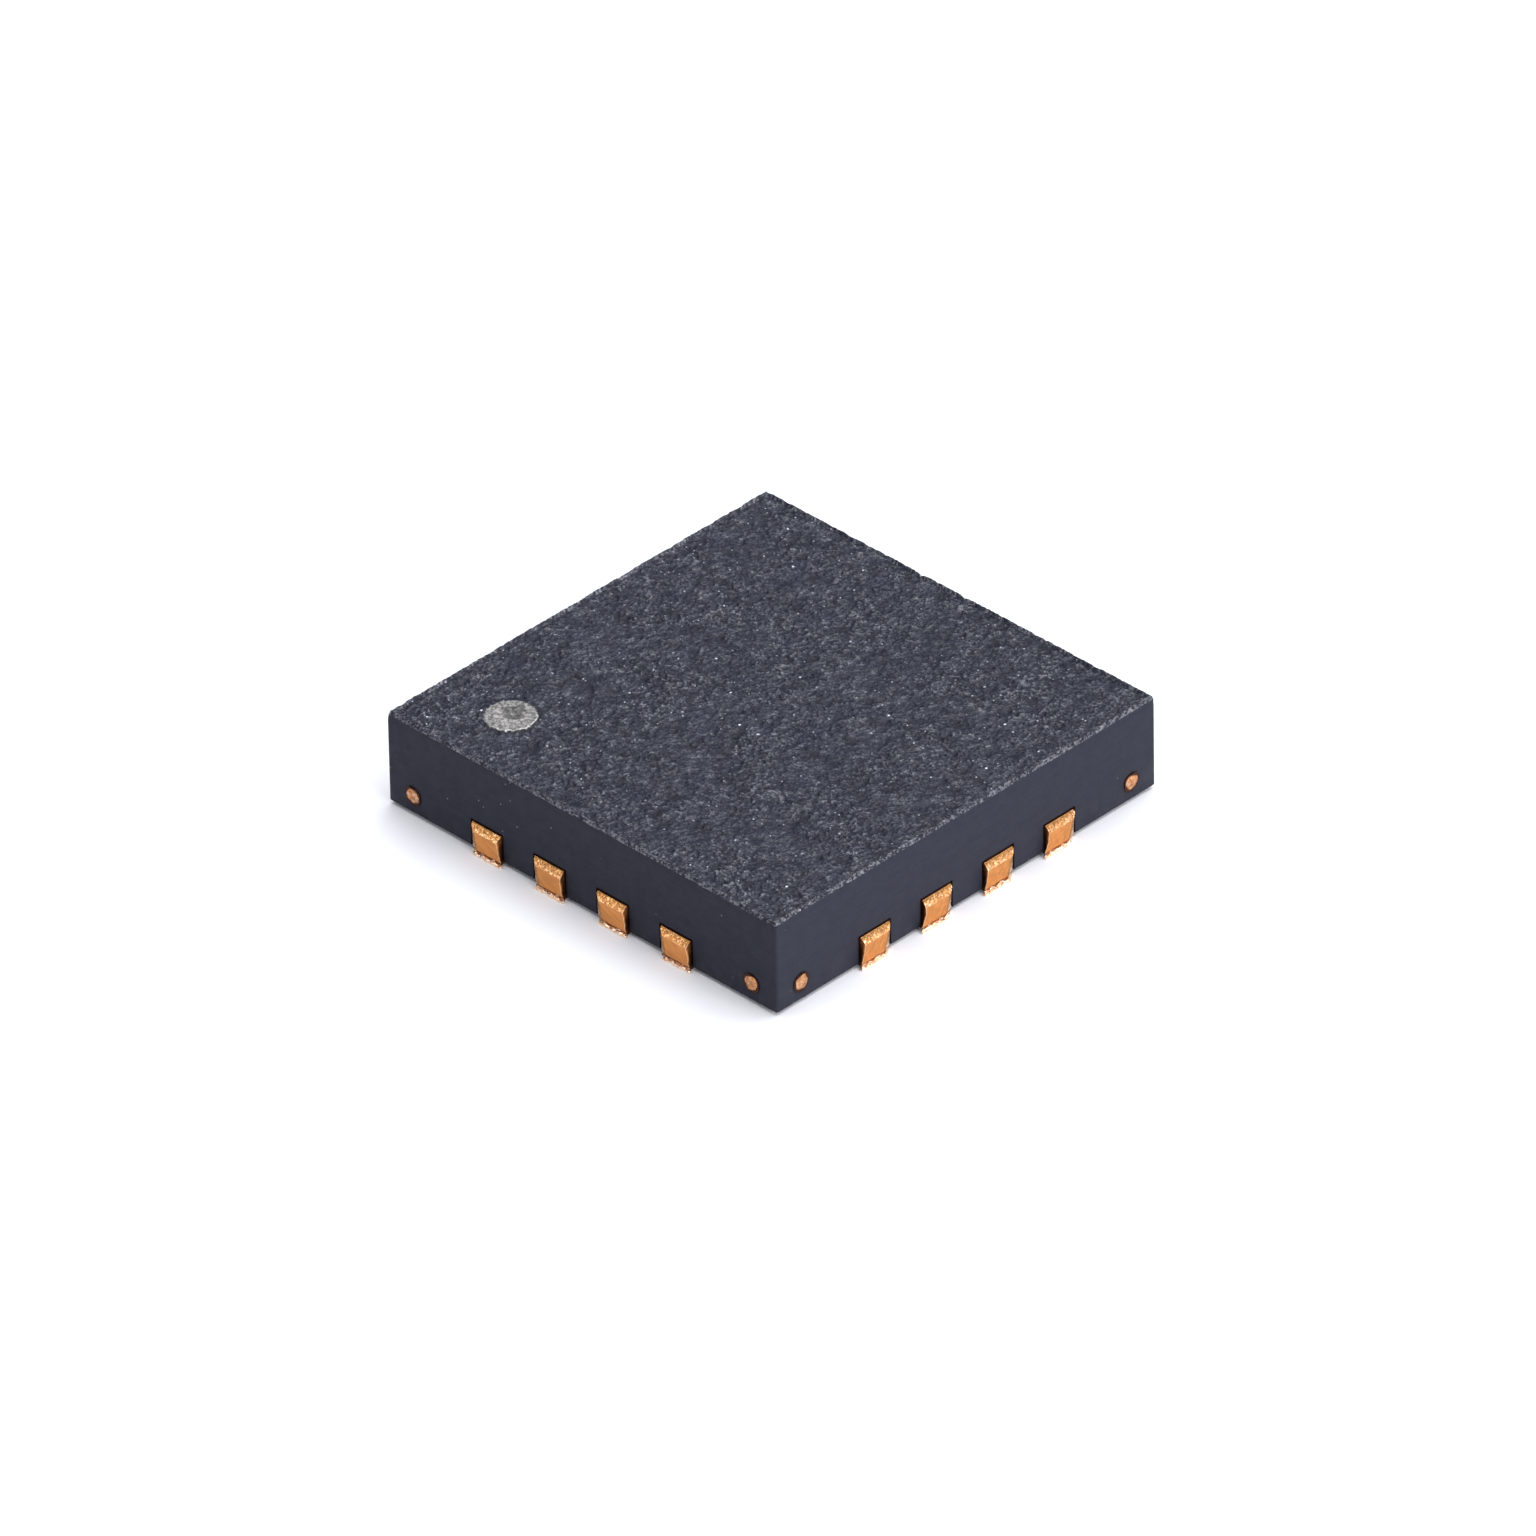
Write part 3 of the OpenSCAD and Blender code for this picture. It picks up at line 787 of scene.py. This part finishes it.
def lead_place(node):
    """Outward and along directions of a lead, and the middle of its end on the body's side."""
    low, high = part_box(node)
    body_low, body_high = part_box("mould_body")
    middle = (Vector(low) + Vector(high)) / 2
    outward, along = max(sides(), key=lambda pair: pair[0].dot(middle))
    side = (body_high[0] - body_low[0]) / 2
    return outward, along, outward * side + along * along.dot(middle)


def grooves(settings, materials):
    """Cutter for the gap that the saw opens round each lead end."""
    bm = bmesh.new()
    gap = settings.groove
    for node in LEADS:
        low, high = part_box(node)
        outward, along, start = lead_place(node)
        width = abs(along.dot(Vector(high) - Vector(low))) + 2 * gap
        height = high[2] + gap
        turn = Matrix((along, outward, Vector((0, 0, 1)))).transposed().to_4x4()
        middle = start + Vector((0, 0, height / 2 - 0.05 * MM))
        size = Matrix.Diagonal((width, 2 * GROOVE_DEPTH, height + 0.1 * MM, 1))
        bmesh.ops.create_cube(bm, size=1.0, matrix=Matrix.Translation(middle) @ turn @ size)
    bmesh.ops.recalc_face_normals(bm, faces=bm.faces)
    for face in bm.faces:
        face.material_index = GROOVE_WALL
    mesh = bpy.data.meshes.new("grooves")
    bm.to_mesh(mesh)
    bm.free()
    for material in materials:
        mesh.materials.append(material)
    cutter = bpy.data.objects.new("grooves", mesh)
    bpy.context.collection.objects.link(cutter)
    return cutter


class CHIP_OT_body(bpy.types.Operator):
    """Build the moulded body with its grain, chipped edges and first-lead mark"""

    bl_idname = "chip.body"
    bl_label = "Moulded Body"

    def execute(self, context):
        settings = context.scene.chip_body
        leads = context.scene.chip_leads
        materials = [moulded_top(settings), sawn_side(settings, leads), moulded_foot(settings),
                     burned_and_shaded_groove(leads)]
        body = body_skin(settings, materials)
        carve(body, welded_copy("mould_body", "pockets"), "INTERSECT")
        split_faces(body)
        carve(body, grooves(settings, materials), "DIFFERENCE")
        smooth(body, 30, (UNDER, GROOVE_WALL))
        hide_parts("mould_body")
        return {"FINISHED"}


# Leads


FACE, BEVEL, WALL, REST, FOOT = range(5)
STATIONS = 61
CRUMB_HEIGHT = 0.0045 * MM


def lead_points(settings, node, seed):
    """Profiles of a cut lead, one at each station across its width, with zones and a mask of rubbed edges and
    painted highlights.
    """
    low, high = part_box(node)
    outward, along, start = lead_place(node)
    span = Vector(high) - Vector(low)
    width, length_in, top = abs(along.dot(span)), abs(outward.dot(span)), high[2]
    side = abs(outward.dot(start))
    reach = max(abs(outward.dot(Vector(low))), abs(outward.dot(Vector(high)))) - side
    finger = length_in - reach
    half = width / 2
    drag_way = 1.0 if abs(outward.x) > 0.5 else -1.6
    y = half * np.sin(np.linspace(-0.5, 0.5, STATIONS) * math.pi)
    taper = half - np.sqrt(np.maximum(half**2 - y**2, 0))
    land_end, finger_end = settings.land_length - taper, finger - taper

    def wave(cell, turn):
        return lumps(y, y * 0, cell * MM, seed + turn)

    leaving = y * drag_way > 0
    edge = np.where(leaving, settings.steep_side, settings.side_bevel)
    inner = np.clip((half - np.abs(y)) / edge, 0, 1)
    steep = 0.45 * inner + 0.55 * np.sin(inner * math.pi / 2)
    stand = np.where(leaving, steep, 0.28 + 0.72 * np.sin(inner * math.pi / 2))
    proud = settings.proud * stand
    crest = top - settings.bevel * stand * (1 + 0.12 * wave(0.09, 3))
    tooth = np.clip(0.62 + 0.40 * wave(0.060, 0) + 0.35 * wave(0.024, 1), 0.1, 1)
    spread = np.sqrt(np.clip((half - np.abs(y)) / (0.010 * MM), 0, 1))
    foot_out = spread * (settings.proud + (reach - settings.proud) * tooth)
    foot_top = settings.foot_height * np.clip(0.88 + 0.40 * wave(0.05, 2), 0.4, 1.15)
    sill = settings.foot_height * 1.38 + 0.003 * MM * wave(0.06, 7)

    def run(u0, z0, u1, z1, steps, zone):
        for k in range(steps):
            f = k / steps
            yield u0 + (u1 - u0) * f, z0 + (z1 - z0) * f, zone

    def flat(value):
        return np.full_like(y, value)

    zero, bend = flat(0.0), flat(0.06 * MM)
    ceiling, step_up = flat(top), flat(settings.etch_depth)
    toe, brow = foot_top * 0.7, sill + 0.006 * MM
    back = np.maximum(proud - settings.notch * stand, 0)
    path = []
    path += run(land_end, zero, bend, zero, 5, REST)
    path += run(bend, zero, -foot_out, zero, 6, REST)
    path += run(-foot_out, zero, -foot_out, toe, 4, FOOT)
    path += run(-foot_out, toe, -back, foot_top, 5, FOOT)
    path += run(-back, foot_top, -back, sill, 2, WALL)
    path += run(-back, sill, -proud, brow, 2, WALL)
    path += run(-proud, brow, -proud, crest, 24, FACE)
    path += run(-proud, crest, zero, ceiling, 14, BEVEL)
    path += run(zero, ceiling, finger_end, ceiling, 5, REST)
    path += run(finger_end, ceiling, finger_end, step_up, 2, REST)
    path += run(finger_end, step_up, land_end, step_up, 2, REST)
    path += run(land_end, step_up, land_end, zero, 2, REST)

    u = np.stack([step[0] for step in path], axis=1)
    z = np.stack([step[1] for step in path], axis=1)
    zone = np.tile([step[2] for step in path], (len(y), 1))
    across = np.repeat(y[:, None], u.shape[1], axis=1)
    out = np.clip(-u / settings.proud, 0, 1)
    crumbs = lumps(across, z + u, 0.022 * MM, seed + 4) + 0.7 * lumps(across, z + u, 0.011 * MM, seed + 8)
    rough = np.where(zone == BEVEL, out * (1.2 - out), 0) + np.where(zone == FOOT, 0.5, 0)
    u = u - CRUMB_HEIGHT * crumbs * rough
    z = z + CRUMB_HEIGHT * crumbs * rough
    drag = lumps(across + 0.55 * z, z * 2.2 - across, 0.05 * MM, seed + 5)
    u = u - np.where(zone == FACE, 0.0014 * MM * drag, 0.0)
    lip = np.exp(-(((z - crest[:, None]) / (0.006 * MM)) ** 2)) * out
    u = u - 0.0015 * MM * lip * (0.6 + 0.6 * lumps(across, z * 0, 0.03 * MM, seed + 9))
    down = np.clip((crest[:, None] - z) / (top - settings.bevel - settings.foot_height), 0, 1.2)
    ragged = 0.015 * MM * lumps(z, np.sign(across) * MM, 0.085 * MM, seed + 6)
    ragged = ragged + 0.004 * MM * lumps(z, np.sign(across) * MM, 0.03 * MM, seed + 7)
    across = across + out * (drag_way * settings.lean * down**1.4 + ragged * (np.abs(across) / half) ** 4)

    # Painted highlights: a bright line along each arris of the cut face, a band on the side bevel and the
    # crest lip; with the bevel's sparkle they mask the edge colours.
    rim = half - np.abs(y) - edge
    line = np.exp(-((rim / (0.006 * MM)) ** 2))
    line = np.where(leaving, 0.95 * line, 0.72 * ease(1 - inner, 0.10, 0.90))[:, None]
    sparkle = ease(crumbs, 0.45, 1.0) * (zone == BEVEL)
    wear_and_highlight = np.clip(np.maximum(np.maximum(0.45 * lip, line), 0.9 * sparkle), 0, 1)
    wear_and_highlight = np.where(zone == BEVEL, np.maximum(wear_and_highlight * ease(out, 0.1, 0.6), 0.4 * out), wear_and_highlight)
    on_edge = (inner < 1)[:, None] & ((zone == FACE) | (zone == BEVEL))
    zone = np.where(on_edge, np.where(leaving[:, None], WALL, BEVEL), zone)
    return outward, along, start, across, u, np.maximum(z, 0.0), zone, wear_and_highlight


def build_lead(settings, node, seed, materials):
    """One lead: a swept profile, closed by its two sides."""
    outward, along, start, across, u, z, zone, wear_and_highlight = lead_points(settings, node, seed)
    points = (np.array(start)[None, None, :] + across[..., None] * np.array(along)
              - u[..., None] * np.array(outward) + z[..., None] * np.array((0, 0, 1)))
    stations, steps = u.shape
    index = np.arange(stations * steps).reshape(stations, steps)
    ahead = np.roll(index, -1, axis=1)
    quads = np.stack([index[:-1], index[1:], ahead[1:], ahead[:-1]], axis=2)
    faces = quads.reshape(-1, 4).tolist() + [index[0].tolist(), index[-1][::-1].tolist()]
    middle = stations // 2
    zones = np.concatenate([zone[:middle], zone[middle + 1:]]).ravel().tolist() + [WALL, WALL]
    lead = show("cut_" + node, points.reshape(-1, 3), faces, materials, zones, wear_and_highlight.ravel())
    smooth(lead, 55)
    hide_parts(node)
    return lead


class CHIP_OT_leads(bpy.types.Operator):
    """Build the sixteen leads with their sawn, dragged ends"""

    bl_idname = "chip.leads"
    bl_label = "Leads"

    def execute(self, context):
        settings = context.scene.chip_leads
        materials = [cut_copper(settings), dragged_copper(settings), etched_copper(settings),
                     tinned_copper(settings), smeared_tin(settings)]
        for pin, node in enumerate(LEADS):
            build_lead(settings, node, 100 + 10 * pin, materials)
        return {"FINISHED"}


# Paddle and pieces inside the body


def tie_end(settings, name, outward, middle, seed, materials):
    """Smeared copper cap over one sawn tie-bar end."""
    along = Vector((0, 0, 1)).cross(outward)
    turns, rings = 32, 7
    crown = 0.005 * MM
    angle = np.arange(turns) * 2 * math.pi / turns
    edge = settings.tie_radius * (1 + 0.18 * lumps(np.cos(angle), np.sin(angle), 0.8, seed)
                                  + 0.08 * lumps(np.cos(angle), np.sin(angle), 0.35, seed + 1))
    points, faces = [np.array((0.0, 0.0, crown))], []
    for ring in range(1, rings + 1):
        part = ring / rings
        x, y = edge * part * np.cos(angle), edge * part * np.sin(angle)
        lift = crown * (1 - part**4) + 0.0030 * MM * lumps(x, y, 0.03 * MM, seed + 2)
        points += list(np.stack([x, y, lift if ring < rings else lift * 0 - 0.001 * MM], axis=1))
    points += list(np.stack([edge * 0.96 * np.cos(angle), edge * 0.96 * np.sin(angle),
                             np.full(turns, -0.004 * MM)], axis=1))
    for k in range(turns):
        n = (k + 1) % turns
        faces.append([0, 1 + k, 1 + n])
        for ring in range(rings):
            a, b = 1 + ring * turns, 1 + (ring + 1) * turns
            faces.append([a + k, b + k, b + n, a + n])
    faces.append([1 + rings * turns + k for k in range(turns)][::-1])
    local = np.array(points)
    world = (np.array(middle) + local[:, :1] * np.array(along) + local[:, 1:2] * np.array((0, 0, 1))
             + local[:, 2:] * np.array(outward))
    cap = show(name, world, faces, materials)
    smooth(cap, 60)


class CHIP_OT_paddle(bpy.types.Operator):
    """Finish the die paddle and smear copper over its sawn tie-bar ends"""

    bl_idname = "chip.paddle"
    bl_label = "Die Paddle"

    def execute(self, context):
        settings = context.scene.chip_leads
        paddle = bpy.data.objects["die_paddle"]
        paddle.data.materials.clear()
        paddle.data.materials.append(tinned_copper(settings))
        low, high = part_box("mould_body")
        half = (high[0] - low[0]) / 2 + 0.005 * MM
        materials = [mottled_copper(settings)]
        for side, (outward, along) in enumerate(sides()):
            for end, place in enumerate((-settings.tie_place, settings.tie_place)):
                middle = outward * half + along * place + Vector((0, 0, settings.tie_height))
                name = f"tie_end_{2 * side + end + 1}"
                tie_end(settings, name, outward, middle, 400 + 10 * (2 * side + end), materials)
        return {"FINISHED"}


class CHIP_OT_inside(bpy.types.Operator):
    """Finish the die, its attach and the bond wires sealed in the body"""

    bl_idname = "chip.inside"
    bl_label = "Sealed Pieces"

    def execute(self, context):
        finishes = inner_materials()
        groups = {"silicon": ["silicon_die"], "silver_epoxy": ["die_attach"], "gold": WIRES}
        for slot, nodes in groups.items():
            for node in nodes:
                data = bpy.data.objects[node].data
                data.materials.clear()
                data.materials.append(finishes[slot])
        return {"FINISHED"}


# Stage


def sun(name, towards, spread, power, tone):
    """One very large, far soft light. Towards points from the chip to the light."""
    data = bpy.data.lights.new(name, "SUN")
    data.energy, data.angle, data.color = power, math.radians(spread), tone
    lamp = bpy.data.objects.new(name, data)
    lamp.rotation_mode = "QUATERNION"
    lamp.rotation_quaternion = Vector(towards).to_track_quat("Z", "Y")
    lamp.location = Vector(towards).normalized() * 0.2
    bpy.context.collection.objects.link(lamp)


def heading(azimuth, elevation):
    """Direction from the chip at an azimuth and elevation, as the camera counts them."""
    return Vector((math.sin(azimuth) * math.cos(elevation), -math.cos(azimuth) * math.cos(elevation),
                   math.sin(elevation)))


class CHIP_OT_stage(bpy.types.Operator):
    """Lay the paper, place the camera and set the soft studio light"""

    bl_idname = "chip.stage"
    bl_label = "Stage"

    def execute(self, context):
        settings = context.scene.chip_stage
        reach = 0.6
        mesh = bpy.data.meshes.new("floor")
        mesh.from_pydata([(-reach, -reach, 0), (reach, -reach, 0), (reach, reach, 0), (-reach, reach, 0)],
                         [], [(0, 1, 2, 3)])
        mesh.materials.append(paper(settings))
        floor = bpy.data.objects.new("floor", mesh)
        context.collection.objects.link(floor)

        back = heading(settings.azimuth, settings.elevation)
        right = Vector((math.cos(settings.azimuth), math.sin(settings.azimuth), 0))
        up = back.cross(right)
        c, s = math.cos(settings.roll), math.sin(settings.roll)
        right, up = c * right + s * up, c * up - s * right
        foot = Vector((0, 0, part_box("mould_body")[0][2]))
        data = bpy.data.cameras.new("camera")
        data.lens, data.sensor_width, data.sensor_fit = settings.focal, 36.0, "HORIZONTAL"
        data.clip_start, data.clip_end = 0.01, 10.0
        camera = bpy.data.objects.new("camera", data)
        place = foot + right * settings.aim_right + up * settings.aim_up + back * settings.distance
        turn = Matrix((right, up, back)).transposed().to_4x4()
        camera.matrix_world = Matrix.Translation(place) @ turn
        context.collection.objects.link(camera)
        context.scene.camera = camera

        world = bpy.data.worlds.new("studio")
        world.use_nodes = True
        context.scene.world = world
        background = world.node_tree.nodes["Background"]
        background.inputs["Color"].default_value = (*settings.fill, 1.0)
        nodes, links = world.node_tree.nodes, world.node_tree.links
        facing = nodes.new("ShaderNodeVectorMath")
        facing.operation = "DOT_PRODUCT"
        links.new(nodes.new("ShaderNodeTexCoord").outputs["Generated"], facing.inputs[0])
        facing.inputs[1].default_value = right
        strength = nodes.new("ShaderNodeMapRange")
        links.new(facing.outputs["Value"], strength.inputs["Value"])
        strength.inputs["From Min"].default_value = -1.0
        strength.inputs["To Min"].default_value = settings.fill_left
        strength.inputs["To Max"].default_value = settings.fill_right
        links.new(strength.outputs[0], background.inputs["Strength"])
        lights = (("key_light", 46, 15, 40, settings.key_power, settings.key),
                  ("left_light", -86, 28, 24, settings.left_power, settings.key),
                  ("top_light", 138, 70, 80, settings.top_power, settings.top))
        for name, turned, raised, spread, power, tone in lights:
            towards = heading(settings.azimuth + math.radians(turned), math.radians(raised))
            sun(name, towards, spread, power, tone)
        context.scene.view_settings.view_transform = "Standard"
        return {"FINISHED"}


# Panel and registration


class CHIP_PT_panel(bpy.types.Panel):
    """Builds the chip piece by piece"""

    bl_label = "Leadless Chip"
    bl_idname = "CHIP_PT_panel"
    bl_space_type = "VIEW_3D"
    bl_region_type = "UI"
    bl_category = "Chip"

    def draw(self, context):
        for operator in OPERATORS:
            self.layout.operator(operator.bl_idname)
        for group in ("chip_body", "chip_leads", "chip_stage"):
            settings = getattr(context.scene, group)
            box = self.layout.box()
            for name in settings.__annotations__:
                box.prop(settings, name)


GROUPS = {"chip_body": ChipBodySettings, "chip_leads": ChipLeadSettings, "chip_stage": ChipStageSettings}
OPERATORS = (CHIP_OT_body, CHIP_OT_leads, CHIP_OT_paddle, CHIP_OT_inside, CHIP_OT_stage)


def register():
    """Registers the settings, the operators and the panel."""
    for name, group in GROUPS.items():
        bpy.utils.register_class(group)
        setattr(bpy.types.Scene, name, PointerProperty(type=group))
    for kind in (*OPERATORS, CHIP_PT_panel):
        bpy.utils.register_class(kind)


def unregister():
    """Takes the panel, the operators and the settings out again."""
    for kind in (CHIP_PT_panel, *reversed(OPERATORS)):
        bpy.utils.unregister_class(kind)
    for name, group in GROUPS.items():
        delattr(bpy.types.Scene, name)
        bpy.utils.unregister_class(group)


def main():
    """Builds the whole chip."""
    register()
    bpy.ops.chip.body()
    bpy.ops.chip.leads()
    bpy.ops.chip.paddle()
    bpy.ops.chip.inside()
    bpy.ops.chip.stage()
    bpy.context.view_layer.update()


if __name__ == "__main__":
    main()
